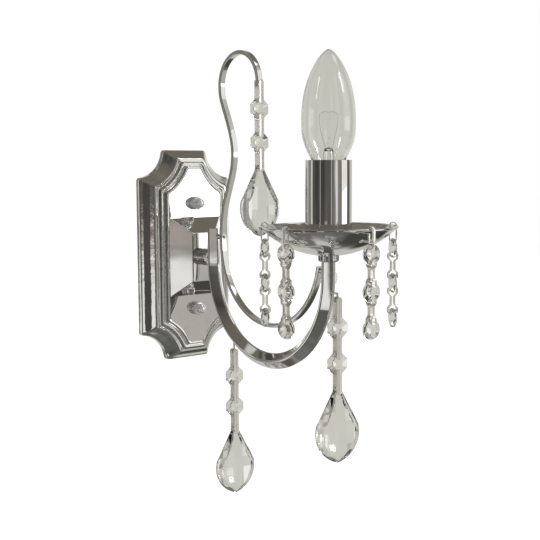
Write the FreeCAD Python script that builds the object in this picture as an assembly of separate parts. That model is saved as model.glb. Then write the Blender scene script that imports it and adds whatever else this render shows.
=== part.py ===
# Crystal wall sconce, one arm. Units mm. +Z up, +Y into the wall, wall plane at y = 0,
# origin in the middle of the back plate. One STEP file per piece goes to parts/.
import FreeCAD, Part
import math
import os

V = FreeCAD.Vector
os.makedirs("parts", exist_ok=True)

# ---------------------------------------------------------------- driving sizes
fit = 0.08               # radial clearance of a pin in a drilled crystal or eye
gap = 0.3                # air between pieces that move past each other
sheet = 1.0              # wall of the pressed and drawn metal

# back plate: half width and half height at the wall, corner scallop radius
plate_hw, plate_hh, scallop_r = 41.4, 82.15, 22.05
skirt_in, skirt_depth = 1.7, 4.7
panel_hw, panel_hh, panel_scallop_r, panel_depth = 22.0, 65.9, 39.9, 16.9
pyr_hh, pyr_top_hw, pyr_top_hh, pyr_depth = 30.1, 9.9, 18.3, 28.5
# inset and depth of the moulding, skirt edge to panel step
moulding = [(1.9, 6.4), (2.9, 8.0), (4.6, 8.9), (6.6, 9.5), (8.6, 10.7), (10.4, 12.7), (12.0, 14.0), (14.3, 14.3)]

# wall bracket, studs and cap nuts
strap_w, strap_hh, strap_t = 22.0, 52.0, 2.0
stud_z, stud_r = 40.5, 2.0
screw_z, screw_r = 26.0, 2.3
nut_r, nut_len, nut_dome_r, nut_teeth = 5.0, 4.6, 4.1, 18

# arm: square tube standing on its corner, bent to a U
arm_side, arm_corner, arm_wall = 9.0, 1.8, 1.0
wall_leg_y, cup_y, bend_z = -42.2, -171.5, -3.5
arm_top_z, cup_leg_z = 21.3, 6.2
end_cap_t = 1.0
spacer_r, spacer_teeth = 6.2, 20
nipple_r, nipple_bore = 3.2, 2.1
lock_af, lock_t = 11.0, 3.5

# scroll bar: flat strip, width across the arm's plane and thickness in it
bar_w, bar_t = 4.4, 3.0
hook_y, hook_z, hook_r = -76.3, 126.2, 22.4
low_y, low_z, low_r = -108.9, 12.2, 55.0
low_end_deg = -10.5
rivet_r, rivet_head_r, rear_rivet_z = 1.0, 1.6, 16.4

# drip pan, candle tube and lamp
pan_r, pan_z, pan_floor_z, rim_bead_r = 45.4, 28.6, 9.9, 0.95
rim_hole_r = 1.25
collar_r, collar_teeth = 6.8, 16
sleeve_r, sleeve_top, sleeve_wall = 15.1, 71.8, 0.8
holder_r, holder_z0, holder_z1, socket_r = 13.2, 18.0, 60.0, 7.75
shell_t = 0.5
cap_r, cap_z0, cap_z1, cap_wall, cap_pitch = 6.95, 40.0, 62.0, 0.35, 2.82
glass_wall = 0.7
wire_r, wire_gap = 0.72, 0.16

# crystals and their clips
pin_r, clip_w, clip_t, clip_pitch = 0.55, 3.7, 0.4, 13.4
octagon_half_t, bead_half_t, clip_in = 2.6, 2.3, 2.9
octagon_af, bead_af, hole_off = 14.0, 12.6, 4.9
drop_h, drop_w, drop_t, drop_hole = 50.0, 31.0, 13.0, 2.8
eye_r, eye_t, eye_wire_r, eye_rise = 2.2, 1.6, 0.7, 4.0
ring_r, ring_wire, ring_drop, ring_corner = 2.35, 0.45, 9.7, 0.65
pan_turn = 5.5           # turn of the pan's five strands about the candle
strand_count = 5
beads_per_strand = 3

# top pivot of each pendant, and the heading that its crystals face
# (degrees from -Y towards -X)
pendants = {
    "hook": ((0.0, hook_y - hook_r, hook_z), 7.0),
    "rear": ((0.0, -66.4, -67.5), 10.0),
    "front": ((-1.5, cup_y - 10.3, -17.6), 16.0),
}


# ---------------------------------------------------------------- helpers
def block(x0, x1, y0, y1, z0, z1):
    return Part.makeBox(x1 - x0, y1 - y0, z1 - z0, V(x0, y0, z0))


def rod(r, a, b):
    a, b = V(*a), V(*b)
    return Part.makeCylinder(r, (b - a).Length, a, b - a)


def tube(r_out, r_in, a, b):
    return rod(r_out, a, b).cut(rod(r_in, a, b))


def face(points):
    return Part.Face(Part.makePolygon([V(*p) for p in points] + [V(*points[0])]))


def turned(profile, at=(0, 0, 0), axis=(0, 0, 1)):
    """Revolve (radius, height) pairs about the axis through at."""
    s = face([(r, 0, h) for r, h in profile]).revolve(V(0, 0, 0), V(0, 0, 1), 360)
    s.Placement = FreeCAD.Placement(V(*at), FreeCAD.Rotation(V(0, 0, 1), V(*axis)))
    return s


def fuse(shapes):
    out = shapes[0]
    for s in shapes[1:]:
        out = out.fuse(s)
    return out.removeSplitter()


def toothed(r_out, r_in, teeth, h0, h1, chamfer, at, axis):
    """Knurled ring: a toothed prism with both rims broken."""
    pts = []
    for i in range(teeth * 2):
        r = r_out if i % 2 == 0 else r_in
        a = math.pi * i / teeth
        pts.append((r * math.cos(a), r * math.sin(a), h0))
    body = face(pts).extrude(V(0, 0, h1 - h0))
    low = r_out - chamfer
    body = body.common(turned([(0, h0), (low, h0), (r_out, h0 + chamfer), (r_out, h1 - chamfer), (low, h1), (0, h1)]))
    body.Placement = FreeCAD.Placement(V(*at), FreeCAD.Rotation(V(0, 0, 1), V(*axis)))
    return body


def hexagon(af, h0, h1, at, axis):
    r = af / math.sqrt(3)
    pts = [(r * math.cos(math.radians(60 * i)), r * math.sin(math.radians(60 * i)), h0) for i in range(6)]
    body = face(pts).extrude(V(0, 0, h1 - h0))
    body.Placement = FreeCAD.Placement(V(*at), FreeCAD.Rotation(V(0, 0, 1), V(*axis)))
    return body


def placed(shape, at, heading):
    """Put a piece made in the X-Z plane, facing -Y, at a pivot and turn its face to a heading."""
    out = shape.copy()
    out.Placement = FreeCAD.Placement(V(*at), FreeCAD.Rotation(V(0, 0, 1), -heading)).multiply(shape.Placement)
    return out


written = []


def save(name, shape):
    solids = shape.Solids
    shape = solids[0] if len(solids) == 1 else Part.makeCompound(solids)
    if not solids or not shape.isValid():
        print("BAD", name, len(solids))
    shape.exportStep("parts/" + name + ".step")
    b = shape.BoundBox
    written.append(name)
    print("%-22s solids %d  vol %9.1f  x %7.2f %7.2f  y %8.2f %8.2f  z %8.2f %8.2f"
          % (name, len(solids), shape.Volume, b.XMin, b.XMax, b.YMin, b.YMax, b.ZMin, b.ZMax))


# ---------------------------------------------------------------- back plate
def scallop_wire(hw, hh, rho, y, corner=1.4):
    """Outline with a hollow bite at each corner; the bites' centres stay at the wall outline's corners."""
    cx, cz = plate_hw, plate_hh
    f = corner
    # rounded tips: one on the top edge, one on the side edge, in the first quarter
    tx = cx - math.sqrt((rho + f) ** 2 - (cz - (hh - f)) ** 2)
    top_c = (tx, hh - f)
    sz = cz - math.sqrt((rho + f) ** 2 - (cx - (hw - f)) ** 2)
    side_c = (hw - f, sz)

    def toward(c):
        d = math.hypot(c[0] - cx, c[1] - cz)
        return (cx + (c[0] - cx) * rho / d, cz + (c[1] - cz) * rho / d)

    t2, s2 = toward(top_c), toward(side_c)
    ma = math.atan2((t2[1] + s2[1]) / 2 - cz, (t2[0] + s2[0]) / 2 - cx)
    mid = (cx + rho * math.cos(ma), cz + rho * math.sin(ma))

    def tip(c, a, b):
        m = ((a[0] + b[0]) / 2 - c[0], (a[1] + b[1]) / 2 - c[1])
        d = math.hypot(*m)
        return (c[0] + m[0] * f / d, c[1] + m[1] * f / d)

    t1, s1 = (tx, hh), (hw, sz)
    tm, sm = tip(top_c, t1, t2), tip(side_c, s1, s2)
    quarter = [("arc", t1, tm, t2), ("arc", t2, mid, s2), ("arc", s2, sm, s1)]
    edges = []

    def add(kind, pts, sx, sz_):
        p = [V(q[0] * sx, -y, q[1] * sz_) for q in pts]
        if kind == "arc":
            edges.append(Part.Arc(p[0], p[1], p[2]).toShape())
        else:
            edges.append(Part.makeLine(p[0], p[1]))

    for kind, *pts in quarter:
        add(kind, pts, 1, 1)
    add("line", [s1, (s1[0], -s1[1])], 1, 1)
    for kind, *pts in reversed(quarter):
        add(kind, pts[::-1], 1, -1)
    add("line", [t1, (-t1[0], t1[1])], 1, -1)
    for kind, *pts in quarter:
        add(kind, pts, -1, -1)
    add("line", [s1, (s1[0], -s1[1])], -1, -1)
    for kind, *pts in reversed(quarter):
        add(kind, pts[::-1], -1, 1)
    add("line", [(-t1[0], t1[1]), t1], 1, 1)
    return Part.Wire(edges)


def plate_levels(grow):
    """Outline levels of the plate's outside (grow 0) or of its hollow (grow = sheet)."""
    levels = [(plate_hw - grow, plate_hh - grow, scallop_r + grow, 0.0)]
    levels.append((plate_hw - skirt_in - grow, plate_hh - skirt_in - grow, scallop_r + skirt_in + grow, skirt_depth - grow / 2))
    for inset, depth in moulding:
        levels.append((plate_hw - inset - grow, plate_hh - inset - grow, scallop_r + inset + grow, depth - grow))
    levels.append((panel_hw - grow, panel_hh - grow, panel_scallop_r + grow, panel_depth - grow))
    return levels


def plate_solid(grow):
    wires = [scallop_wire(hw, hh, rho, y) for hw, hh, rho, y in plate_levels(grow)]
    parts = [Part.makeLoft([a, b], True, True) for a, b in zip(wires, wires[1:])]
    return fuse(parts)


def pyramid(grow):
    lo, hi = panel_depth - grow, pyr_depth - grow
    bx, bz = panel_hw - grow * 1.2, pyr_hh - grow * 1.2
    tx, tz = pyr_top_hw - grow * 0.6, pyr_top_hh - grow * 0.6
    if grow:
        lo -= 0.5
    low = Part.makePolygon([V(sx * bx, -lo, sz * bz) for sx, sz in ((1, 1), (1, -1), (-1, -1), (-1, 1), (1, 1))])
    top = Part.makePolygon([V(sx * tx, -hi, sz * tz) for sx, sz in ((1, 1), (1, -1), (-1, -1), (-1, 1), (1, 1))])
    return Part.makeLoft([low, top], True, True)


plate = plate_solid(0).fuse(pyramid(0)).cut(plate_solid(sheet)).cut(pyramid(sheet))
for sz in (1, -1):
    plate = plate.cut(rod(stud_r + gap, (0, 0, sz * stud_z), (0, -panel_depth - 2, sz * stud_z)))
plate = plate.cut(rod(nipple_r, (0, 0, 0), (0, -pyr_depth - 2, 0)))
save("backplate", plate)

# bracket strap flat on the wall, its studs, and the cap nuts that draw the plate to it
strap = block(-strap_w / 2, strap_w / 2, -strap_t, 0, -strap_hh, strap_hh)
for sz in (1, -1):
    strap = strap.cut(rod(screw_r, (0, 1, sz * screw_z), (0, -strap_t - 1, sz * screw_z)))
    strap = strap.cut(rod(stud_r, (0, 1, sz * stud_z), (0, -strap_t - 1, sz * stud_z)))
save("wall_bracket", strap)

stud_end = panel_depth + nut_len
studs, nuts = [], []
for sz in (1, -1):
    z = sz * stud_z
    shank = rod(stud_r, (0, 0, z), (0, -stud_end, z))
    shoulder = tube(stud_r + 1.6, stud_r, (0, -strap_t, z), (0, -strap_t - 2.4, z))
    studs.append(shank.fuse(shoulder).removeSplitter())
    body = toothed(nut_r, nut_r - 0.55, nut_teeth, 0, nut_len, 0.5, (0, -panel_depth, z), (0, -1, 0))
    neck = rod(nut_dome_r - 0.3, (0, -panel_depth, z), (0, -panel_depth - nut_len - 0.9, z))
    dome = Part.makeSphere(nut_dome_r, V(0, -panel_depth - nut_len - 1.4, z))
    nut = fuse([body, neck, dome.common(block(-9, 9, -60, -panel_depth - 1, z - 9, z + 9))])
    nuts.append(nut.cut(rod(stud_r, (0, -panel_depth + 1, z), (0, -stud_end, z))))
save("bracket_studs", Part.makeCompound(studs))
save("cap_nuts", Part.makeCompound(nuts))

# ---------------------------------------------------------------- arm
arm_r = (wall_leg_y - cup_y) / 2
arm_cy = (wall_leg_y + cup_y) / 2


def square_face(side, corner, y, z):
    """Rounded square standing on its corner, level, about (0, y, z)."""
    h = side / 2
    body = Part.makeBox(side, side, 1, V(-h, -h, 0))
    body = body.makeFillet(corner, [e for e in body.Edges if abs(e.tangentAt(e.FirstParameter).z) > 0.9])
    low = [f for f in body.Faces if abs(f.CenterOfMass.z) < 1e-6 and f.Surface.TypeId == "Part::GeomPlane"][0]
    low.Placement = FreeCAD.Placement(V(0, y, z), FreeCAD.Rotation(V(0, 0, 1), 45))
    return low


def arm_run(side, corner, top_rear, top_cup):
    f = square_face(side, corner, wall_leg_y, bend_z)
    rear = f.extrude(V(0, 0, top_rear - bend_z))
    bend = f.revolve(V(0, arm_cy, bend_z), V(1, 0, 0), -180)
    cup = square_face(side, corner, cup_y, bend_z).extrude(V(0, 0, top_cup - bend_z))
    return fuse([rear, bend, cup])


arm_outer = arm_run(arm_side, arm_corner, arm_top_z, cup_leg_z)
arm_inner = arm_run(arm_side - 2 * arm_wall, arm_corner - arm_wall, arm_top_z + 1, cup_leg_z + 1)
arm_hollow = arm_outer.cut(arm_inner)

# the short tube that carries the arm: through the plate, the spacer and the back corner of the leg
nipple_end = wall_leg_y + 3.6
arm_nipple = tube(nipple_r, nipple_bore, (0, -pyr_depth + 7.5, 0), (0, nipple_end, 0))
save("arm_nipple", arm_nipple)
save("arm_lock_nut", hexagon(lock_af, 0, lock_t, (0, -pyr_depth + sheet, 0), (0, 1, 0))
     .cut(rod(nipple_r, (0, 0, 0), (0, -40, 0))))
spacer = toothed(spacer_r, spacer_r - 0.6, spacer_teeth, 0, 9.5, 0.7, (0, -pyr_depth, 0), (0, -1, 0))
spacer = spacer.cut(rod(nipple_r, (0, 0, 0), (0, -60, 0))).cut(arm_outer)
save("arm_spacer", max(spacer.Solids, key=lambda s: s.Volume))

# ---------------------------------------------------------------- scroll bar
def centreline():
    """Points and unit tangents from the hook's free end to the cup leg, as (y, z)."""
    pts = [(hook_y - hook_r, hook_z - 3.2), (hook_y - hook_r, hook_z - 1.6)]
    for i in range(0, 19):
        a = math.radians(180 - 10 * i)
        pts.append((hook_y + hook_r * math.cos(a), hook_z + hook_r * math.sin(a)))
    pts += [(-54.6, 119.0), (-57.3, 112.0), (-62.4, 101.0), (-66.9, 89.5), (-69.0, 78.0), (-67.6, 66.5), (-62.6, 53.0),
            (-57.3, 39.5), (-54.3, 25.5)]
    for i in range(0, 18):
        a = math.radians(-10 * i)
        pts.append((low_y + low_r * math.cos(a), low_z + low_r * math.sin(a)))
    a = math.radians(-180 - low_end_deg)
    pts[-1] = (low_y + low_r * math.cos(a), low_z + low_r * math.sin(a))
    return pts


def strip(points, half):
    """Planar band about a centreline, as a face in x = 0."""
    curve = Part.BSplineCurve()
    curve.interpolate([V(0, y, z) for y, z in points])
    n = 110
    a, b = curve.FirstParameter, curve.LastParameter
    left, right = [], []
    for i in range(n + 1):
        u = a + (b - a) * i / n
        p, t = curve.value(u), curve.tangent(u)[0]
        q = V(0, -t.z, t.y)
        left.append(p + q * half)
        right.append(p - q * half)
    e1 = Part.BSplineCurve()
    e1.interpolate(left)
    e2 = Part.BSplineCurve()
    e2.interpolate(right)
    wire = Part.Wire([e1.toShape(), Part.makeLine(left[-1], right[-1]), e2.toShape().reversed(),
                      Part.makeLine(right[0], left[0])])
    return Part.Face(wire)


band = strip(centreline(), bar_t / 2)
bar = band.extrude(V(bar_w, 0, 0))
bar.translate(V(-bar_w / 2, 0, 0))

# two rivets tie the bar to the arm: a spaced one at the wall leg, a short one at the cup leg
cup_rivet_z = low_z - low_r * math.sin(math.radians(-low_end_deg)) - 2.6
rivets = []
bar_rear_y = low_y + low_r                        # bar's centreline at the wall leg
bar_cup_y = low_y - math.sqrt(low_r ** 2 - (cup_rivet_z - low_z) ** 2)
corner_reach = arm_side / math.sqrt(2) - arm_corner * (math.sqrt(2) - 1)
for y_bar, y_leg, z, way in ((bar_rear_y, wall_leg_y, rear_rivet_z, -1), (bar_cup_y, cup_y, cup_rivet_z, 1)):
    y_face = y_bar + way * bar_t / 2              # the bar's face turned away from the leg
    inside = y_leg + way * (corner_reach - arm_wall * 1.9)
    near = y_bar - way * bar_t / 2
    shank = rod(rivet_r, (0, y_face, z), (0, inside, z))
    head = Part.makeSphere(rivet_head_r, V(0, y_face - way * rivet_head_r * 0.35, z))
    head = head.common(block(-9, 9, min(y_face, y_face + way * 9), max(y_face, y_face + way * 9), z - 9, z + 9))
    piece = shank.fuse(head)
    leg_face = y_leg + way * corner_reach
    if abs(near - leg_face) > 0.5:
        piece = piece.fuse(rod(rivet_r + 0.8, (0, near, z), (0, leg_face - way * 2.0, z)).cut(arm_outer))
    piece = piece.cut(bar.cut(rod(rivet_r, (0, y_face - 9, z), (0, y_face + 9, z))))
    rivets.append(max(piece.removeSplitter().Solids, key=lambda s: s.Volume))
    bar = bar.cut(rod(rivet_r, (0, y_bar - 4, z), (0, y_bar + 4, z)))
    arm_hollow = arm_hollow.cut(rod(rivet_r, (0, y_leg, z), (0, y_leg + way * 12, z)))
bar = bar.cut(arm_outer)
save("scroll_rivets", Part.makeCompound(rivets))

# holes of the arm: nipple at the back corner, pan nipple enters the open top of the cup leg
arm_hollow = arm_hollow.cut(rod(nipple_r, (0, wall_leg_y + 2, 0), (0, wall_leg_y + 12, 0)))

# ---------------------------------------------------------------- pendant eyes
def normal(heading):
    a = math.radians(heading)
    return V(-math.sin(a), -math.cos(a), 0)


def eye_disc(pivot, heading):
    n, p = normal(heading), V(*pivot)
    disc = Part.makeCylinder(eye_r, eye_t, p - n * (eye_t / 2), n)
    edges = [e for e in disc.Edges if e.Curve.TypeId == "Part::GeomCircle"]
    disc = disc.makeFillet(0.55, edges)
    return disc, Part.makeCylinder(pin_r + fit, eye_t + 2, p - n * (eye_t / 2 + 1), n)


eyes = []
(p, h) = pendants["rear"]
disc, hole = eye_disc(p, h)
stem = rod(eye_wire_r, p, (p[0], p[1], p[2] + 12))
eyes.append(max(disc.fuse(stem).cut(hole).cut(arm_outer).removeSplitter().Solids, key=lambda s: s.BoundBox.DiagonalLength))
(p, h) = pendants["front"]
disc, hole = eye_disc(p, h)
up = (p[0], p[1], p[2] + eye_rise)
stem = rod(eye_wire_r, p, up).fuse(Part.makeSphere(eye_wire_r, V(*up))).fuse(rod(eye_wire_r, up, (p[0], cup_y, up[2])))
eyes.append([s for s in disc.fuse(stem).cut(hole).cut(arm_outer).removeSplitter().Solids if s.BoundBox.YMin < cup_y - 7][0])
save("pendant_eyes", Part.makeCompound(eyes))

(p, h) = pendants["hook"]
n = normal(h)
bar = bar.cut(Part.makeCylinder(pin_r + fit, 12, V(*p) - n * 6, n))
save("scroll_bar", max(bar.Solids, key=lambda s: s.Volume))
save("main_arm", max(arm_hollow.Solids, key=lambda s: s.Volume))

plug = square_face(arm_side - 2 * arm_wall, arm_corner - arm_wall, wall_leg_y, arm_top_z - 2.5).extrude(V(0, 0, 2.5))
lid = square_face(arm_side, arm_corner, wall_leg_y, arm_top_z).extrude(V(0, 0, end_cap_t))
save("arm_end_cap", plug.fuse(lid).removeSplitter())

# ---------------------------------------------------------------- drip pan and collar
rim_r = pan_r - rim_bead_r
rise = pan_z - pan_floor_z
bowl_r = (rim_r ** 2 + rise ** 2) / (2 * rise)
bowl_c = pan_floor_z + bowl_r


def bowl_arc(r_ball, r_edge, steps=1):
    """Lower part of a ball about the bowl centre, from the axis out to r_edge."""
    z_edge = bowl_c - math.sqrt(r_ball ** 2 - r_edge ** 2)
    rm = r_edge / 2
    zm = bowl_c - math.sqrt(r_ball ** 2 - rm ** 2)
    return V(0, 0, bowl_c - r_ball), V(rm, 0, zm), V(r_edge, 0, z_edge)


a0, a1, a2 = bowl_arc(bowl_r, rim_r)
b0, b1, b2 = bowl_arc(bowl_r - sheet, rim_r - 0.35)
bowl = Part.Wire([Part.Arc(a0, a1, a2).toShape(), Part.makeLine(a2, b2), Part.Arc(b2, b1, b0).toShape(), Part.makeLine(b0, a0)])
pan = Part.Face(bowl).revolve(V(0, 0, 0), V(0, 0, 1), 360)
pan = pan.fuse(Part.makeTorus(rim_r, rim_bead_r, V(0, 0, pan_z), V(0, 0, 1)))
pan = pan.cut(rod(nipple_r, (0, 0, 0), (0, 0, 20)))
# each hole bites the sheet only, so the rolled edge stays whole
holes = []
for k in range(strand_count):
    a = math.radians(pan_turn + 360.0 * k / strand_count)
    hx, hy = -math.sin(a) * (rim_r - rim_bead_r - rim_hole_r), -math.cos(a) * (rim_r - rim_bead_r - rim_hole_r)
    holes.append(rod(rim_hole_r, (hx, hy, pan_z - 8), (hx, hy, pan_z + 4)))
for hcut in holes:
    pan = pan.cut(hcut)
pan.translate(V(0, cup_y, 0))
save("drip_pan", pan.removeSplitter())

collar_z = cup_leg_z
collar = toothed(collar_r, collar_r - 0.7, collar_teeth, 0, 4.6, 1.0, (0, cup_y, collar_z), (0, 0, 1))
collar = collar.cut(rod(nipple_r, (0, cup_y, 0), (0, cup_y, 20)))
ball = Part.makeSphere(bowl_r, V(0, cup_y, bowl_c))
collar = collar.cut(ball)
save("pan_collar", max(collar.Solids, key=lambda s: s.Volume))
pan_nipple = tube(nipple_r, nipple_bore, (0, cup_y, cup_leg_z), (0, cup_y, holder_z0 + 6))
tail = square_face(arm_side - 2 * arm_wall, arm_corner - arm_wall, cup_y, cup_leg_z - 5).extrude(V(0, 0, 5))
pan_nipple = pan_nipple.fuse(tail.cut(rod(nipple_bore, (0, cup_y, -9), (0, cup_y, 20)))).removeSplitter()
save("pan_nipple", pan_nipple)
floor_in = bowl_c - math.sqrt((bowl_r - sheet) ** 2 - (lock_af / math.sqrt(3)) ** 2)
save("pan_lock_nut", hexagon(lock_af, 0, lock_t, (0, cup_y, floor_in), (0, 0, 1))
     .cut(rod(nipple_r, (0, cup_y, 0), (0, cup_y, 30))))

# ---------------------------------------------------------------- candle tube and lampholder
sleeve_z0 = bowl_c - math.sqrt((bowl_r - sheet) ** 2 - sleeve_r ** 2)
save("candle_sleeve", tube(sleeve_r, sleeve_r - sleeve_wall, (0, cup_y, sleeve_z0), (0, cup_y, sleeve_top)))
contact_z = 34.0
holder = rod(holder_r, (0, cup_y, holder_z0), (0, cup_y, holder_z1))
holder = holder.cut(rod(nipple_r, (0, cup_y, holder_z0), (0, cup_y, holder_z0 + 6)))
holder = holder.cut(rod(5.0, (0, cup_y, holder_z0 + 6), (0, cup_y, contact_z - 3)))
holder = holder.cut(rod(socket_r, (0, cup_y, contact_z), (0, cup_y, holder_z1)))
holder = holder.cut(rod(1.2, (0, cup_y, contact_z - 4), (0, cup_y, contact_z + 1)))
save("lampholder_body", holder)
save("lampholder_shell", tube(socket_r, socket_r - shell_t, (0, cup_y, contact_z + 2), (0, cup_y, contact_z + 22)))
contact = rod(3.0, (0, cup_y, contact_z), (0, cup_y, contact_z + 0.9))
save("lampholder_contact", contact.fuse(rod(1.2, (0, cup_y, contact_z - 3), (0, cup_y, contact_z))).removeSplitter())

# ---------------------------------------------------------------- lamp
profile = [(7.4, 64.2), (9.4, 68.0), (11.7, 73.0), (13.8, 77.2), (15.4, 81.0), (16.6, 85.0), (17.3, 89.5), (17.5, 95.0),
           (17.45, 100.5), (17.05, 106.5), (16.3, 112.0), (15.2, 117.0), (13.7, 122.0), (11.8, 127.0), (9.3, 132.0),
           (6.6, 136.3), (3.9, 139.6), (1.7, 141.3)]
lamp_tip = 142.0
neck_r = cap_r - cap_wall


def lamp_outline(shrink):
    neck_top = cap_z1 + 0.3
    pts = [V(neck_r - shrink, 0, 57.0), V(neck_r - shrink, 0, neck_top)]
    run = [V(neck_r - shrink, 0, neck_top)] + [V(max(r - shrink, 0.5), 0, z - (shrink * 0.5 if z > 125 else 0)) for r, z in profile]
    run.append(V(0, 0, lamp_tip - shrink))
    curve = Part.BSplineCurve()
    curve.interpolate(run)
    return [Part.makeLine(pts[0], pts[1]), curve.toShape()]


def lamp_solid(shrink, z0=57.0):
    e = lamp_outline(shrink)
    end, start = V(0, 0, lamp_tip - shrink), V(neck_r - shrink, 0, 57.0)
    wire = Part.Wire(e + [Part.makeLine(end, V(0, 0, z0)), Part.makeLine(V(0, 0, z0), start)])
    return Part.Face(wire).revolve(V(0, 0, 0), V(0, 0, 1), 360)


glass = lamp_solid(0).cut(lamp_solid(glass_wall))
glass.translate(V(0, cup_y, 0))
save("bulb_glass", glass)

# cap: rolled thread shown as plain rings, open at the top, closed low end
ridge, root = cap_r, cap_r - 0.3
pts = [(3.6, cap_z0), (5.6, cap_z0), (root, cap_z0 + 2.2)]
z = cap_z0 + 2.2
while z + cap_pitch < cap_z1 - 3.4:
    pts += [(ridge, z + cap_pitch * 0.35), (ridge, z + cap_pitch * 0.6), (root, z + cap_pitch)]
    z += cap_pitch
pts += [(ridge, z + 0.8), (ridge, cap_z1), (neck_r, cap_z1), (neck_r, z + 0.8), (root - cap_wall, z + 0.4)]
pts += [(root - cap_wall, cap_z0 + 2.6), (5.3, cap_z0 + cap_wall), (3.6, cap_z0 + cap_wall)]
save("bulb_cap", turned(pts, (0, cup_y, 0)))
tip = [(0, 36.4), (1.6, 36.6), (2.3, 37.2), (2.6, 38.0), (3.6, cap_z0), (3.6, cap_z0 + 1.6), (0, cap_z0 + 1.6)]
save("bulb_tip", turned(tip, (0, cup_y, 0)))

stem_pts = [(neck_r - glass_wall, 57.0), (neck_r - glass_wall, 58.2), (4.0, 61.5), (3.6, 66.0), (3.6, 76.5), (2.6, 79.0), (0.8, 79.8),
            (0.8, 86.0), (0, 86.4), (0, 57.0)]
save("bulb_stem", turned(stem_pts, (0, cup_y, 0)))
fa = math.radians(41.0)
fx, fy = math.cos(fa), -math.sin(fa)


def lamp_point(u, z):
    return (u * fx, cup_y + u * fy, z)


fil = []
for s in (1, -1):
    path = [(s * 1.9, 78.6), (s * 2.6, 81.0), (s * 5.9, 93.6), (s * 5.7, 101.2)]
    fil += [rod(0.28, lamp_point(*a), lamp_point(*b)) for a, b in zip(path, path[1:])]
    fil += [Part.makeSphere(0.28, V(*lamp_point(*q))) for q in path[1:]]
filament = [(-5.7, 101.2), (-3.0, 102.6), (0.0, 101.8), (3.0, 102.2), (5.7, 101.2)]
fil += [rod(0.3, lamp_point(*a), lamp_point(*b)) for a, b in zip(filament, filament[1:])]
fil += [Part.makeSphere(0.3, V(*lamp_point(*q))) for q in filament]
stem_body = turned(stem_pts, (0, cup_y, 0))
save("bulb_filament", fuse(fil).cut(stem_body))

# ---------------------------------------------------------------- supply wires, whole along their run
block_z0, block_z1 = 17.0, 35.0
term = block(-9.5, 9.5, -strap_t - 10, -strap_t, block_z0, block_z1)
wire_x = wire_r + wire_gap / 2
for sx in (1, -1):
    term = term.cut(rod(wire_r, (sx * wire_x, -9, block_z0), (sx * wire_x, -9, block_z0 + 6)))
    for zz in (block_z0 + 5, block_z1 - 5):
        term = term.cut(rod(1.5, (sx * 4.6, -strap_t - 10, zz), (sx * 4.6, -strap_t - 5, zz)))
save("terminal_block", term)

turn_r = 3.0
wires = []
for sx in (1, -1):
    x = sx * wire_x
    y0, y1 = -9.0, wall_leg_y + turn_r
    disc0 = Part.Face(Part.Wire(Part.makeCircle(wire_r, V(x, y0, turn_r), V(0, 0, 1))))
    down = disc0.extrude(V(0, 0, block_z0 + 6 - turn_r))
    bend_a = disc0.revolve(V(x, y0 - turn_r, turn_r), V(1, 0, 0), -90)
    along = rod(wire_r, (x, y0 - turn_r, 0), (x, y1, 0))
    disc1 = Part.Face(Part.Wire(Part.makeCircle(wire_r, V(x, y1, 0), V(0, 1, 0))))
    bend_b = disc1.revolve(V(x, y1, -turn_r), V(1, 0, 0), 90)
    drop_a = rod(wire_r, (x, wall_leg_y, bend_z), (x, wall_leg_y, -turn_r))
    disc2 = Part.Face(Part.Wire(Part.makeCircle(wire_r, V(x, wall_leg_y, bend_z), V(0, 0, 1))))
    u = disc2.revolve(V(x, arm_cy, bend_z), V(1, 0, 0), -180)
    rise_w = rod(wire_r, (x, cup_y, bend_z), (x, cup_y, contact_z - 4.5))
    wires.append(fuse([down, bend_a, along, bend_b, drop_a, u, rise_w]))
save("lamp_wires", Part.makeCompound(wires))


# ---------------------------------------------------------------- crystals and clips
def ngon(af, y, sides=8, squash=1.0):
    r = af / 2 / math.cos(math.pi / sides)
    return [V(r * math.cos(math.pi * (2 * i + 1) / sides) * squash, y, r * math.sin(math.pi * (2 * i + 1) / sides))
            for i in range(sides)]


def polyhedron(rings, first=None, last=None):
    """Closed faceted solid from rings of equal count, ends closed flat or to a point."""
    faces = []
    n = len(rings[0])

    def tri(a, b, c):
        if (b - a).cross(c - a).Length > 1e-9:
            faces.append(Part.Face(Part.makePolygon([a, b, c, a])))

    for r0, r1 in zip(rings, rings[1:]):
        for i in range(n):
            j = (i + 1) % n
            quad = [r0[i], r0[j], r1[j], r1[i]]
            flat = abs((quad[1] - quad[0]).cross(quad[3] - quad[0]).normalize().dot(quad[2] - quad[0])) < 1e-7
            if flat:
                faces.append(Part.Face(Part.makePolygon(quad + [quad[0]])))
            else:
                tri(quad[0], quad[1], quad[2])
                tri(quad[0], quad[2], quad[3])
    for ring, point in ((rings[0], first), (rings[-1], last)):
        if point is None:
            faces.append(Part.Face(Part.makePolygon(ring + [ring[0]])))
        else:
            for i in range(n):
                tri(ring[i], ring[(i + 1) % n], point)
    shell = Part.makeShell(faces)
    shell.sewShape()
    return Part.makeSolid(shell)


def octagon(af, t):
    """Double-sided octagon, drilled near its top and bottom edges, centred on its upper hole."""
    rings = [ngon(af * 0.40, -t), ngon(af * 0.80, -t * 0.66), ngon(af, -0.7), ngon(af, 0.7), ngon(af * 0.80, t * 0.66),
             ngon(af * 0.40, t)]
    s = polyhedron(rings)
    for sz in (1, -1):
        s = s.cut(rod(pin_r + fit, (0, -9, sz * hole_off), (0, 9, sz * hole_off)))
    s.translate(V(0, 0, -hole_off))
    return s


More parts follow.
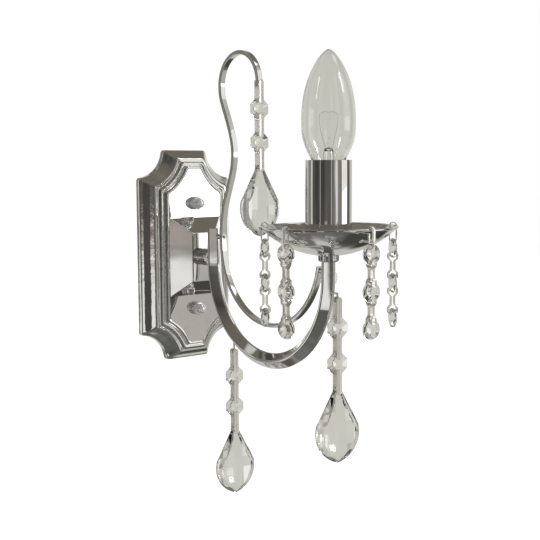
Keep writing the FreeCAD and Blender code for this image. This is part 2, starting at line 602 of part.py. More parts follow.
def drop_crystal():
    """Pear drop, faceted both sides, hung from the hole at its top."""
    prof = [(0.0, 0.10, 0.16), (0.05, 0.19, 0.28), (0.12, 0.37, 0.43), (0.20, 0.55, 0.58), (0.28, 0.71, 0.71),
            (0.36, 0.835, 0.82), (0.45, 0.93, 0.92), (0.54, 0.985, 0.985), (0.62, 1.0, 1.0), (0.70, 0.97, 0.97),
            (0.77, 0.895, 0.90), (0.84, 0.77, 0.79), (0.90, 0.60, 0.63), (0.95, 0.39, 0.43), (0.985, 0.17, 0.23)]
    rings = []
    m = 16
    for k, (f, w, t) in enumerate(prof):
        z = drop_hole - f * drop_h
        off = math.pi / m if k % 2 else 0.0
        rings.append([V(drop_w / 2 * w * math.cos(2 * math.pi * i / m + off), drop_t / 2 * t * math.sin(2 * math.pi * i / m + off), z)
                      for i in range(m)])
    s = polyhedron(rings, None, V(0, 0, drop_hole - drop_h))
    return s.cut(rod(pin_r + fit, (0, -9, 0), (0, 9, 0)))


def clip(pitch=clip_pitch):
    """Two flat round-ended straps and two cross pins; origin on the upper pin, facing -Y."""
    r = clip_w / 2
    parts = []
    for side in (-1, 1):
        y0 = clip_in if side > 0 else -clip_in - clip_t
        parts.append(fuse([block(-r, r, y0, y0 + clip_t, -pitch, 0), rod(r, (0, y0, 0), (0, y0 + clip_t, 0)),
                           rod(r, (0, y0, -pitch), (0, y0 + clip_t, -pitch))]))
    for zz in (0, -pitch):
        parts.append(rod(pin_r, (0, -clip_in - clip_t, zz), (0, clip_in + clip_t, zz)))
    return fuse(parts)


clip_shape = clip()
octagon_shape = octagon(octagon_af, octagon_half_t)
bead_shape = octagon(bead_af, bead_half_t)
drop_shape = drop_crystal()
step_crystal = 2 * hole_off

for name, (pivot, heading) in pendants.items():
    x, y, z = pivot
    for k in range(1, 4):
        save("%s_clip_%d" % (name, k), placed(clip_shape, (x, y, z), heading))
        z -= clip_pitch
        if k < 3:
            save("%s_octagon_%d" % (name, k), placed(octagon_shape, (x, y, z), heading))
            z -= step_crystal
    save("%s_drop" % name, placed(drop_shape, (x, y, z), heading))


def rim_ring():
    """Wire loop through a rim hole and round the rolled edge; its straight foot is the first bead's pin.
    Made in the Y-Z plane (radial), origin at the rim's edge centre."""
    r, c, foot = ring_r, ring_corner, -ring_drop

    def p(y, z):
        return V(0, y, z)

    k = c * (1 - math.sqrt(0.5))
    path = [Part.Arc(p(r, 0), p(0, r), p(-r, 0)).toShape(), Part.makeLine(p(-r, 0), p(-r, foot + c)),
            Part.Arc(p(-r, foot + c), p(-r + k, foot + k), p(-r + c, foot)).toShape(),
            Part.makeLine(p(-r + c, foot), p(r - c, foot)),
            Part.Arc(p(r - c, foot), p(r - k, foot + k), p(r, foot + c)).toShape(), Part.makeLine(p(r, foot + c), p(r, 0))]
    profile = Part.Wire(Part.makeCircle(ring_wire, p(r, 0), V(0, 0, 1)))
    ring = Part.Wire(path).makePipeShell([profile], True, False)
    return ring if ring.Volume > 0 else ring.reversed()


ring_shape = rim_ring()
for k in range(strand_count):
    heading = pan_turn + 360.0 * k / strand_count
    a = math.radians(heading)
    x, y, z = -math.sin(a) * rim_r, cup_y - math.cos(a) * rim_r, pan_z
    hanger, length = ring_shape, ring_drop
    for b in range(1, beads_per_strand + 1):
        piece = placed(hanger, (x, y, z), heading)
        z -= length
        bead = placed(bead_shape, (x, y, z), heading)
        save("strand_%d_link_%d" % (k + 1, b), Part.makeCompound([piece, bead]))
        z -= step_crystal
        hanger, length = clip_shape, clip_pitch

print(len(written), "files")
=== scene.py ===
import bpy
import bmesh
import math
from mathutils import Matrix, Vector


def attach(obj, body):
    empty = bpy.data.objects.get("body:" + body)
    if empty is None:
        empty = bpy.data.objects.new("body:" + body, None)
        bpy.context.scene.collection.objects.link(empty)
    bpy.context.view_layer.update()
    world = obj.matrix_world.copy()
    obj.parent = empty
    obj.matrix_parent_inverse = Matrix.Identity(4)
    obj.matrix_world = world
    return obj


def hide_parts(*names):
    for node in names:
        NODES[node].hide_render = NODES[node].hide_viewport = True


# Looks of the one-arm crystal wall light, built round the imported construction.
# +Z is up and +Y into the wall; the origin is the plate's centre on the wall. Lengths are in mm until v3 scales them.

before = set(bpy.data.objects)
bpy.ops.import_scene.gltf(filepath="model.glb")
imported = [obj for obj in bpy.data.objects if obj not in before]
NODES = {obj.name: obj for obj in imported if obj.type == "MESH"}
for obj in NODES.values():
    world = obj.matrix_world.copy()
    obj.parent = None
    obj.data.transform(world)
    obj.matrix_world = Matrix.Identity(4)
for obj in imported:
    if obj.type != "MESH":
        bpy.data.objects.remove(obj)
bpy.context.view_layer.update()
MM = 0.001
TAU = 2 * math.pi

# ------------------------------------------------------------------ sizes, as the construction has them
# plate with its panel and pyramid, and the cap nuts
plate_hw, plate_hh, scallop_r = 41.4, 82.15, 22.05
panel_depth = 16.9
pyr_hh, pyr_top_hw, pyr_top_hh, pyr_depth = 30.1, 9.9, 18.3, 28.5
stud_z, nut_r, nut_len, nut_dome_r = 40.5, 5.0, 4.6, 4.1
# arm and scroll bar
arm_side, arm_corner = 9.0, 1.8
wall_leg_y, cup_y, bend_z = -42.2, -171.5, -3.5
arm_top_z, cup_leg_z = 21.3, 6.2
bar_w, bar_t = 4.4, 3.0
hook_y, hook_z, hook_r = -76.3, 126.2, 22.4
low_y, low_z, low_r, low_end_deg = -108.9, 12.2, 55.0, -10.5
# drip pan, candle tube and lamp
pan_r, pan_z, pan_floor_z, rim_bead_r = 45.4, 28.6, 9.9, 0.95
sleeve_r, sleeve_top, sleeve_wall = 15.1, 71.8, 0.8
cap_r, cap_wall, glass_wall = 6.95, 0.35, 0.7
# crystals, clips and rim rings
pin_r, clip_w, clip_t, clip_pitch, clip_in = 0.55, 3.7, 0.4, 13.4, 2.9
octagon_af, octagon_half_t, bead_af, bead_half_t, hole_off = 14.0, 2.6, 12.6, 2.3, 4.9
drop_h, drop_w, drop_t, drop_hole = 50.0, 31.0, 13.0, 2.8
ring_r, ring_wire, ring_drop, ring_corner = 2.35, 0.45, 9.7, 0.65
pan_turn, strand_count, beads_per_strand = 5.5, 5, 3
# top pivot of each pendant and the heading that its crystals face, in degrees from -Y towards -X
pendants = {
    "hook": ((0.0, hook_y - hook_r, hook_z), 7.0),
    "rear": ((0.0, -66.4, -67.5), 10.0),
    "front": ((-1.5, cup_y - 10.3, -17.6), 16.0),
}

# ------------------------------------------------------------------ sizes that only the looks have
face_hw, face_hh, face_scallop_r = 23.1, 66.6, 38.9     # mirror panel, as the photograph shows its edge
seen_hh = 81.1                                          # the plate's half height there
tip_r = 2.8                                             # rounding of the plate's tips
hole_gap = 0.08                                         # room round a pin in a crystal
panel_sheet, pan_sheet, pan_hole_r = 1.0, 1.0, 3.3
bar_corner = 0.55
# straps: extra half width, share of it left at the waist, and how far each strap of a strand is pulled in
strap_edge, strap_waist, strand_pull = 0.1, 0.95, 1.9


# ------------------------------------------------------------------ materials
def add(nt, kind, inputs=None, **settings):
    """A new node. Each input gets a plain value, or a link where it is given a socket."""
    n = nt.nodes.new(kind)
    for key, value in settings.items():
        setattr(n, key, value)
    for key, value in (inputs or {}).items():
        if isinstance(value, bpy.types.NodeSocket):
            nt.links.new(value, n.inputs[key])
        else:
            n.inputs[key].default_value = value
    return n


def principled(name, colour, metallic=0.0, rough=0.3, ior=1.5, transmission=0.0):
    mat = bpy.data.materials.new(name)
    mat.use_nodes = True
    nt = mat.node_tree
    nt.nodes.clear()
    p = add(nt, "ShaderNodeBsdfPrincipled", {"Base Color": (*colour, 1), "Metallic": metallic, "Roughness": rough,
                                             "IOR": ior, "Transmission Weight": transmission})
    add(nt, "ShaderNodeOutputMaterial", {"Surface": p.outputs[0]})
    return mat, nt, p


def noise(nt, scale, detail=3.0, rough=0.5, distortion=0.0):
    at = add(nt, "ShaderNodeTexCoord").outputs["Object"]
    return add(nt, "ShaderNodeTexNoise", {"Scale": scale, "Detail": detail, "Roughness": rough,
                                          "Distortion": distortion, "Vector": at}).outputs["Fac"]


def spread(nt, fac, lo, hi, a=0.3, b=0.7):
    """Number that goes from lo to hi while fac goes from a to b."""
    return add(nt, "ShaderNodeMapRange", {"From Min": a, "From Max": b, "To Min": lo, "To Max": hi,
                                          "Value": fac}).outputs[0]


def tint(nt, fac, c0, c1, a=0.3, b=0.7):
    """Colour that goes from c0 to c1 while fac goes from a to b."""
    ramp = add(nt, "ShaderNodeValToRGB", {0: fac})
    for stop, at, colour in zip(ramp.color_ramp.elements, (a, b), (c0, c1)):
        stop.position = at
        stop.color = (*colour, 1)
    return ramp.outputs[0]


def bump(nt, p, height, depth, under=None):
    """Bump of a depth in mm on shader p, over an earlier bump where one is given."""
    b = add(nt, "ShaderNodeBump", {"Distance": depth * MM, "Strength": 1.0, "Height": height})
    if under is not None:
        nt.links.new(under, b.inputs["Normal"])
    nt.links.new(b.outputs[0], p.inputs["Normal"])
    return b.outputs[0]


def chrome(name, colour=(0.80, 0.80, 0.79), rough=(0.02, 0.07), peel=0.0, peel_scale=260.0,
           ripple=0.0, ripple_scale=45.0, metal=1.0):
    """Bright plated metal: faint dulling in patches, fine orange peel and slow ripples left by pressing."""
    mat, nt, p = principled(name, colour, metal, 0.04)
    smear = noise(nt, 55.0, 4.0, 0.62, 0.4)
    nt.links.new(spread(nt, smear, *rough, 0.35, 0.75), p.inputs["Roughness"])
    dulled = tuple(c * 0.90 for c in colour)
    nt.links.new(tint(nt, smear, colour, dulled, 0.45, 0.8), p.inputs["Base Color"])
    rippled = None
    if ripple:
        rippled = bump(nt, p, noise(nt, ripple_scale, 1.0, 0.4, 0.6), ripple)
    if peel:
        bump(nt, p, noise(nt, peel_scale, 2.0, 0.5), peel, rippled)
    return mat


def glassy(name, colour, ior, rough):
    """Clear glass with a faint uneven film."""
    mat, nt, p = principled(name, colour, 0.0, rough, ior, 1.0)
    film = noise(nt, 30.0, 3.0, 0.6)
    filmed = tuple(c * 0.985 for c in colour)
    nt.links.new(tint(nt, film, colour, filmed, 0.4, 0.7), p.inputs["Base Color"])
    nt.links.new(spread(nt, film, 0.0, rough, 0.45, 0.8), p.inputs["Roughness"])
    return mat


def plastic(name, colour, rough, mottled):
    """Moulded plastic with a fine grain."""
    mat, nt, p = principled(name, colour, 0.0, rough, 1.48)
    grain = noise(nt, 160.0, 4.0, 0.6)
    nt.links.new(tint(nt, grain, colour, tuple(c * mottled for c in colour)), p.inputs["Base Color"])
    nt.links.new(spread(nt, grain, rough * 0.8, rough * 1.25), p.inputs["Roughness"])
    bump(nt, p, noise(nt, 900.0, 2.0), 0.01)
    return mat


METALS = {
    "plate_chrome": dict(rough=(0.03, 0.11), peel=0.05, peel_scale=360.0, ripple=0.20, ripple_scale=75.0),
    "plate_chrome_panel": dict(rough=(0.01, 0.05), ripple=0.03, ripple_scale=60.0),
    "fitting_chrome": dict(colour=(0.86, 0.85, 0.85), rough=(0.03, 0.10), peel=0.035, peel_scale=900.0),
    "nut_chrome": dict(colour=(0.93, 0.92, 0.93), rough=(0.08, 0.18), peel=0.012, peel_scale=900.0, metal=0.74),
    "arm_chrome": dict(peel=0.006, ripple=0.02, ripple_scale=50.0),
    "bar_chrome": dict(rough=(0.05, 0.12), peel=0.006, peel_scale=350.0),
    "pan_chrome": dict(rough=(0.03, 0.08), peel=0.010, peel_scale=240.0, ripple=0.03, ripple_scale=40.0),
    "sleeve_chrome": dict(rough=(0.01, 0.04), ripple=0.012, ripple_scale=40.0),
    "clip_metal": dict(colour=(0.88, 0.865, 0.81), rough=(0.18, 0.30), metal=0.72),
    "plain_steel": dict(colour=(0.55, 0.55, 0.53), rough=(0.28, 0.5), peel=0.01, peel_scale=420.0),
    "cap_metal": dict(colour=(0.72, 0.71, 0.68), rough=(0.18, 0.32), peel=0.006, peel_scale=500.0),
    "brass": dict(colour=(0.78, 0.57, 0.28), rough=(0.18, 0.4), peel=0.005, peel_scale=400.0),
    "filament": dict(colour=(0.62, 0.61, 0.58), rough=(0.25, 0.45)),
}
M = {name: chrome(name, **look) for name, look in METALS.items()}
# colour, refraction and dullest roughness
M["crystal"] = glassy("crystal", (0.985, 0.985, 0.975), 1.54, 0.012)
M["bulb_clear"] = glassy("bulb_clear", (0.985, 0.985, 0.98), 1.46, 0.004)
M["stem_clear"] = glassy("stem_clear", (0.95, 0.96, 0.95), 1.5, 0.03)
# colour, roughness and the darker of its two tones
M["holder_plastic"] = plastic("holder_plastic", (0.78, 0.76, 0.70), 0.42, 0.94)
M["terminal_plastic"] = plastic("terminal_plastic", (0.80, 0.80, 0.78), 0.35, 0.95)
M["wire_insulation"] = plastic("wire_insulation", (0.62, 0.58, 0.50), 0.4, 0.92)


# ------------------------------------------------------------------ mesh helpers
def v3(x, y, z):
    return Vector((x * MM, y * MM, z * MM))


def to_mesh(bm, name):
    bmesh.ops.recalc_face_normals(bm, faces=bm.faces)
    me = bpy.data.meshes.new(name)
    bm.to_mesh(me)
    bm.free()
    return me


def as_piece(name, me, mat, body, nodes=(), sharp=32.0, flat=False, weighted=True):
    """Put a mesh in the scene as a piece that rides on a body and stands for CAD nodes."""
    ob = bpy.data.objects.new(name, me)
    bpy.context.scene.collection.objects.link(ob)
    me.materials.append(mat)
    if flat:
        me.shade_flat()
    else:
        me.shade_smooth()
        me.set_sharp_from_angle(angle=math.radians(sharp))
        if weighted:
            w = ob.modifiers.new("weighted", "WEIGHTED_NORMAL")
            w.keep_sharp = True
            w.weight = 60
    bpy.context.view_layer.update()
    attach(ob, body)
    if nodes:
        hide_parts(*nodes)


def finish_mesh(name, bm, mat, body, nodes=(), sharp=32.0, weighted=True):
    as_piece(name, to_mesh(bm, name), M[mat], body, nodes, sharp, weighted=weighted)


def join(bm, a, b):
    """Quads between two closed rings of vertices."""
    n = len(a)
    for i in range(n):
        j = (i + 1) % n
        bm.faces.new((a[i], a[j], b[j], b[i]))


def ring_grid(bm, rings, loop=False, capped=False):
    """Quads between successive closed rings of points; returns the rings' vertices."""
    vs = [[bm.verts.new(p) for p in ring] for ring in rings]
    for a, b in zip(vs, vs[1:]):
        join(bm, a, b)
    if loop:
        join(bm, vs[-1], vs[0])
    if capped:
        bm.faces.new(vs[0])
        bm.faces.new(vs[-1])
    return vs


def lathe(bm, profile, steps=96, closed=False):
    """Turn (radius, height) pairs about the candle's axis. A last radius of 0 becomes one point."""
    rows = []
    for r, z in profile:
        around = [TAU * i / steps for i in range(steps if r > 1e-6 else 1)]
        rows.append([bm.verts.new(v3(r * math.cos(a), cup_y + r * math.sin(a), z)) for a in around])
    for a, b in list(zip(rows, rows[1:])) + ([(rows[-1], rows[0])] if closed else []):
        if len(b) > 1:
            join(bm, a, b)
        else:
            for i in range(steps):
                bm.faces.new((a[i], a[(i + 1) % steps], b[0]))
    return rows


def spline(points, per=6):
    """Centripetal Catmull-Rom through 2-D points, with per steps from each to the next."""
    out = []
    ext = [(2 * points[0][0] - points[1][0], 2 * points[0][1] - points[1][1])] + list(points)
    ext.append((2 * points[-1][0] - points[-2][0], 2 * points[-1][1] - points[-2][1]))
    for k in range(1, len(ext) - 2):
        p = [Vector(q) for q in ext[k - 1:k + 3]]
        t = [0.0]
        for a, b in zip(p, p[1:]):
            t.append(t[-1] + max((b - a).length, 1e-6) ** 0.5)
        for s in range(per):
            u = t[1] + (t[2] - t[1]) * s / per
            a1, a2, a3 = [p[i] * (t[i + 1] - u) / (t[i + 1] - t[i]) + p[i + 1] * (u - t[i]) / (t[i + 1] - t[i])
                          for i in range(3)]
            b1 = a1 * (t[2] - u) / (t[2] - t[0]) + a2 * (u - t[0]) / (t[2] - t[0])
            b2 = a2 * (t[3] - u) / (t[3] - t[1]) + a3 * (u - t[1]) / (t[3] - t[1])
            out.append(tuple(b1 * (t[2] - u) / (t[2] - t[1]) + b2 * (u - t[1]) / (t[2] - t[1])))
    out.append(tuple(points[-1]))
    return out


def rounded_section(half_u, half_v, r, steps, turn=0.0):
    """Rounded rectangle as (u, v) points, turned by degrees."""
    pts = []
    for k, (su, sv) in enumerate(((1, 1), (-1, 1), (-1, -1), (1, -1))):
        for s in range(steps + 1):
            a = math.radians(90 * k + 90 * s / steps)
            pts.append((su * (half_u - r) + r * math.cos(a), sv * (half_v - r) + r * math.sin(a)))
    c, s = math.cos(math.radians(turn)), math.sin(math.radians(turn))
    return [(u * c - v * s, u * s + v * c) for u, v in pts]


def arc(y, z, r, degrees):
    """Points on a circle in the Y-Z plane."""
    return [(y + r * math.cos(math.radians(a)), z + r * math.sin(math.radians(a))) for a in degrees]


def sweep_yz(bm, path, section):
    """Sweep a section along a path in the Y-Z plane; u runs along X, v across the path in the plane."""
    rings = []
    for i, (y, z) in enumerate(path):
        a, b = path[max(i - 1, 0)], path[min(i + 1, len(path) - 1)]
        t = Vector((b[0] - a[0], b[1] - a[1])).normalized()
        rings.append([v3(u, y - t.y * v, z + t.x * v) for u, v in section])
    ring_grid(bm, rings, capped=True)


def round_wire(bm, path, r, sides):
    """Round wire along 3-D points with a carried frame."""
    pts = [Vector(p) * MM for p in path]
    n = len(pts)
    rings = []
    up = None
    for i, p in enumerate(pts):
        t = (pts[min(i + 1, n - 1)] - pts[max(i - 1, 0)]).normalized()
        if up is None:
            up = t.orthogonal().normalized()
        up = (up - t * up.dot(t)).normalized()
        side = t.cross(up)
        turns = [TAU * k / sides for k in range(sides)]
        rings.append([p + (up * math.cos(a) + side * math.sin(a)) * r * MM for a in turns])
    ring_grid(bm, rings, capped=True)


def instance(name, me, at, heading, slot, body, nodes=(), flat=True):
    """Copy of a mesh that was made in the X-Z plane facing -Y, at a pivot with its face at a heading."""
    copy = me.copy()
    copy.transform(Matrix.Translation(v3(*at)) @ Matrix.Rotation(-math.radians(heading), 4, "Z"))
    as_piece(name, copy, M[slot], body, nodes, flat=flat, weighted=False)


# ------------------------------------------------------------------ back plate
def scallop_points(hw, hh, rho):
    """Outline of half sizes hw and hh, hollowed by circles of radius rho about the plate's four corners."""
    n_tip, n_bite, n_line = 5, 22, 6
    cx, cz, f = plate_hw, plate_hh, tip_r
    top = (cx - math.sqrt((rho + f) ** 2 - (cz - (hh - f)) ** 2), hh - f)
    side = (hw - f, cz - math.sqrt((rho + f) ** 2 - (cx - (hw - f)) ** 2))
    quarter = []
    # tip on the top edge: from straight up round to the bite
    end = math.atan2(cz - top[1], cx - top[0])
    for i in range(n_tip):
        a = math.pi / 2 + (end - math.pi / 2) * i / n_tip
        quarter.append((top[0] + f * math.cos(a), top[1] + f * math.sin(a)))
    a_top, a_side = [math.atan2(z - cz, x - cx) % TAU for x, z in (top, side)]
    for i in range(n_bite):
        a = a_top + (a_side - a_top) * i / n_bite
        quarter.append((cx + rho * math.cos(a), cz + rho * math.sin(a)))
    start = math.atan2(cz - side[1], cx - side[0])
    for i in range(n_tip + 1):
        a = start + (0 - start) * i / n_tip
        quarter.append((side[0] + f * math.cos(a), side[1] + f * math.sin(a)))
    # clockwise from the top: down the right side, along the foot, and the same turned by half a turn
    (x_top, z_top), (x_side, z_side) = quarter[0], quarter[-1]
    half = quarter + [(x_side, z_side - 2 * z_side * k / n_line) for k in range(1, n_line)]
    half += [(x, -z) for x, z in reversed(quarter)]
    half += [(x_top - 2 * x_top * k / n_line, -z_top) for k in range(1, n_line)]
    return half + [(-x, -z) for x, z in half]


panel_in = plate_hw - face_hw


def level(inset, depth):
    """The plate's outline drawn in towards the panel's, so that rings between the two never cross."""
    f = inset / panel_in
    outline = scallop_points(plate_hw - inset, seen_hh - (seen_hh - face_hh) * f,
                             scallop_r + (face_scallop_r - scallop_r) * f)
    return [v3(x, -depth, z) for x, z in outline]


# pressed moulding as (inset, depth): skirt, cove, first bead, hollow, second bead, panel edge; then its inner side
moulding = spline([
    (0.0, 0.0), (0.12, 2.0), (0.32, 3.6), (0.65, 4.45), (1.3, 5.1), (2.3, 6.1), (3.6, 7.75), (5.0, 9.5), (6.5, 11.0),
    (8.1, 12.4), (9.2, 12.95), (10.4, 13.15), (11.3, 13.45), (11.9, 14.2), (12.6, 15.0), (13.4, 15.25), (14.1, 14.95),
    (14.7, 14.45), (15.3, 14.8), (15.9, 16.0), (16.5, 16.9), (17.1, 17.2), (17.8, 17.05), (panel_in, 16.9)], 4)
inside = [(0.9, 0.0), (1.9, 4.6), (9.5, 10.4), (13.2, 13.2), (16.2, 13.6), (18.9, 15.8)]
bm = bmesh.new()
outer = ring_grid(bm, [level(*p) for p in moulding])
inner = ring_grid(bm, [level(*p) for p in inside])
join(bm, outer[0], inner[0])
join(bm, outer[-1], inner[-1])
finish_mesh("plate_shell", bm, "plate_chrome", "sconce", ("backplate",), sharp=50.0)

# mirror panel, a sheet of its own
bm = bmesh.new()
outline = scallop_points(face_hw, face_hh, face_scallop_r)
depths = (panel_depth, panel_depth - panel_sheet)
front, back = [[bm.verts.new(v3(x, -depth, z)) for x, z in outline] for depth in depths]
bm.faces.new(front)
bm.faces.new(back)
join(bm, front, back)
finish_mesh("plate_panel", bm, "plate_chrome_panel", "sconce", sharp=30.0, weighted=False)

# the raised pyramid, with soft edges at its foot and top: half sizes, depth and corner radius of each ring
slope_x = (face_hw - pyr_top_hw) / (pyr_depth - panel_depth)
slope_z = (pyr_hh - pyr_top_hh) / (pyr_depth - panel_depth)
rise = pyr_depth - 0.45 - panel_depth
boss = [
    (face_hw - 0.05, pyr_hh, panel_depth - 0.4, 0.25),
    (face_hw - 0.15, pyr_hh, panel_depth + 0.1, 0.25),
    (face_hw - 0.9, pyr_hh - 0.9, panel_depth + 0.75, 0.3),
    (face_hw - slope_x * rise, pyr_hh - slope_z * rise, panel_depth + rise, 0.4),
    (pyr_top_hw + 0.15, pyr_top_hh + 0.15, pyr_depth - 0.15, 0.4),
    (pyr_top_hw - 0.4, pyr_top_hh - 0.4, pyr_depth, 0.4),
]
bm = bmesh.new()
ring_grid(bm, [[v3(x, -depth, z) for x, z in rounded_section(hw, hh, r, 4)] for hw, hh, depth, r in boss], capped=True)
finish_mesh("plate_boss", bm, "plate_chrome_panel", "sconce", sharp=11.0)

# knurled cap nuts with ball ends: distance out from the panel, radius and tooth height of each ring
n_tooth, tooth_h = 22, 0.35
nut_neck_r = 4.35
nut_rows = [(-0.4, 4.3, 0.0), (0.05, nut_neck_r, 0.0), (0.5, nut_r - tooth_h, tooth_h),
            (nut_len - 0.5, nut_r - tooth_h, tooth_h), (nut_len - 0.05, nut_neck_r, 0.0)]
for k in range(11):
    a = math.radians(-20 + 11 * k)
    nut_rows.append((nut_len + 1.4 + nut_dome_r * math.sin(a), max(nut_dome_r * math.cos(a), 0.05), 0.0))


def nut_ring(z0, along, r, tooth):
    ring = []
    for k in range(n_tooth * 4):
        a = TAU * k / (n_tooth * 4)
        out = r + (1.0, 0.25, -0.5, 0.25)[k % 4] * tooth
        ring.append(v3(out * math.cos(a), -panel_depth - along, z0 + out * math.sin(a)))
    return ring


bm = bmesh.new()
for z0 in (stud_z, -stud_z):
    ring_grid(bm, [nut_ring(z0, *row) for row in nut_rows], capped=True)
finish_mesh("cap_nut_pair", bm, "nut_chrome", "sconce", ("cap_nuts",), sharp=28.0,
            weighted=False)

# ------------------------------------------------------------------ arm and scroll bar
arm_r, arm_cy = (wall_leg_y - cup_y) / 2, (wall_leg_y + cup_y) / 2
path = [(wall_leg_y, arm_top_z - (arm_top_z - bend_z) * i / 8) for i in range(8)]
path += arc(arm_cy, bend_z, arm_r, [-180 * i / 120 for i in range(121)])
path += [(cup_y, bend_z + (cup_leg_z - bend_z) * i / 4) for i in range(1, 5)]
bm = bmesh.new()
sweep_yz(bm, path, rounded_section(arm_side / 2, arm_side / 2, arm_corner, 5, turn=45.0))
finish_mesh("arm_tube", bm, "arm_chrome", "sconce", ("main_arm",), sharp=40.0)

# hook's end and bow, the S down to the arm, and the long bow inside the U
path = [(hook_y - hook_r, hook_z - 3.2), (hook_y - hook_r, hook_z - 1.6)]
path += arc(hook_y, hook_z, hook_r, [180 - 10 * i for i in range(19)])
path += [(-54.6, 119.0), (-57.3, 112.0), (-62.4, 101.0), (-66.9, 89.5), (-69.0, 78.0), (-67.6, 66.5), (-62.6, 53.0),
         (-57.3, 39.5), (-54.3, 25.5)]
path += arc(low_y, low_z, low_r, [-10 * i for i in range(17)] + [-180 - low_end_deg])
bm = bmesh.new()
sweep_yz(bm, spline(path, 6), rounded_section(bar_w / 2, bar_t / 2, bar_corner, 3))
finish_mesh("scroll_strip", bm, "bar_chrome", "sconce", ("scroll_bar",), sharp=50.0)

# ------------------------------------------------------------------ drip pan, candle tube and lamp
rim_r = pan_r - rim_bead_r
bowl_r = (rim_r ** 2 + (pan_z - pan_floor_z) ** 2) / (2 * (pan_z - pan_floor_z))
bowl_c = pan_floor_z + bowl_r
bowl_in = bowl_r - pan_sheet


def bowl(ball, r0, r1, steps):
    """Profile of a ball about the bowl's centre, from one radius to another."""
    radii = [r0 + (r1 - r0) * i / steps for i in range(steps + 1)]
    return [(r, bowl_c - math.sqrt(ball ** 2 - r ** 2)) for r in radii]


rim = arc(rim_r, pan_z, rim_bead_r, range(-50, 191, 20))
bm = bmesh.new()
sheet = bowl(bowl_r, pan_hole_r, rim_r - 0.5, 32) + rim + bowl(bowl_in, rim_r - 1.1, pan_hole_r, 24)
lathe(bm, sheet, steps=128, closed=True)
finish_mesh("pan_bowl", bm, "pan_chrome", "sconce", ("drip_pan",), sharp=45.0, weighted=False)

# candle tube: plain below, its top edge rounded over
sleeve_z0 = bowl_c - math.sqrt(bowl_in ** 2 - sleeve_r ** 2)
tube = [(0, sleeve_z0), (0, sleeve_z0 + 20)]
tube += [(0, sleeve_top - 0.5), (0.1, sleeve_top - 0.15), (0.4, sleeve_top), (0.7, sleeve_top - 0.15)]
tube += [(sleeve_wall, sleeve_top - 0.5), (sleeve_wall, sleeve_z0 + 1)]
bm = bmesh.new()
lathe(bm, [(sleeve_r - inset, z) for inset, z in tube], steps=128, closed=True)
finish_mesh("sleeve_tube", bm, "sleeve_chrome", "sconce", ("candle_sleeve",), sharp=40.0,
            weighted=False)

# lamp glass: a straight neck in the cap, then the candle shape; the inner skin follows it
neck_r = cap_r - cap_wall
candle = [(neck_r, 62.3), (7.4, 64.2), (9.4, 68.0), (11.7, 73.0), (13.8, 77.2), (15.4, 81.0), (16.6, 85.0),
          (17.3, 89.5), (17.5, 95.0), (17.45, 100.5), (17.05, 106.5), (16.3, 112.0), (15.2, 117.0), (13.7, 122.0),
          (11.8, 127.0), (9.3, 132.0), (6.6, 136.3), (3.9, 139.6), (1.7, 141.3)]
outer = [(neck_r, 57.0), (neck_r, 59.0), (neck_r, 61.0)] + spline(candle, 4)
inner = []
for i, (r, z) in enumerate(outer):
    a, b = outer[max(i - 1, 0)], outer[min(i + 1, len(outer) - 1)]
    t = Vector((b[0] - a[0], b[1] - a[1])).normalized()
    inner.append((max(r - t.y * glass_wall, 0.15), z + t.x * glass_wall * 0.999))
inner = [q for q in inner if q[1] < 140.9] + [(0.0, 141.2)]
bm = bmesh.new()
outer_rows = lathe(bm, outer + [(0.8, 141.75), (0.0, 142.0)])
inner_rows = lathe(bm, inner)
join(bm, outer_rows[0], inner_rows[0])
finish_mesh("bulb_envelope", bm, "bulb_clear", "bulb", ("bulb_glass",), sharp=60.0, weighted=False)

# filament: two fine leads and a coiled arc between them, in an upright plane turned to this heading
filament_turn = math.radians(41.0)
coil_half, coil_z, coil_rise, coil_turns, coil_r = 5.7, 101.2, 1.3, 34, 0.17
lead_wire_r, coil_wire_r = 0.13, 0.05


def lamp_point(u, z, off=0.0):
    c, s = math.cos(filament_turn), math.sin(filament_turn)
    return (u * c + off * s, cup_y - u * s + off * c, z)


bm = bmesh.new()
lead = spline([(1.9, 79.0), (2.7, 81.6), (4.2, 87.4), (5.7, 93.6), (6.0, 98.4), (coil_half, coil_z)], 4)
for side in (1, -1):
    round_wire(bm, [lamp_point(side * u, z) for u, z in lead], lead_wire_r, 8)
coil = []
for i in range(241):
    f = i / 240
    z = coil_z + coil_rise * math.sin(math.pi * f) * (1 - 0.35 * math.cos(4 * math.pi * f))
    a = TAU * coil_turns * f
    coil.append(lamp_point(-coil_half + 2 * coil_half * f, z + coil_r * math.cos(a), coil_r * math.sin(a)))
round_wire(bm, coil, coil_wire_r, 5)
finish_mesh("bulb_coil", bm, "filament", "bulb", ("bulb_filament",), sharp=60.0, weighted=False)


# ------------------------------------------------------------------ crystals
def convex(planes, reach):
    """Closed faceted solid: a block cut by planes given as (point, outward normal)."""
    bm = bmesh.new()
    bmesh.ops.create_cube(bm, size=2.0)
    bmesh.ops.scale(bm, vec=v3(*reach), verts=bm.verts)
    for co, no in planes:
        geom = list(bm.verts) + list(bm.edges) + list(bm.faces)
        res = bmesh.ops.bisect_plane(bm, geom=geom, dist=1e-7, plane_co=Vector(co) * MM,
                                     plane_no=Vector(no).normalized(), clear_outer=True)
        cut = [e for e in res["geom_cut"] if isinstance(e, bmesh.types.BMEdge)]
        if cut:
            bmesh.ops.holes_fill(bm, edges=cut, sides=0)
    bmesh.ops.remove_doubles(bm, verts=bm.verts, dist=2e-6)
    return bm


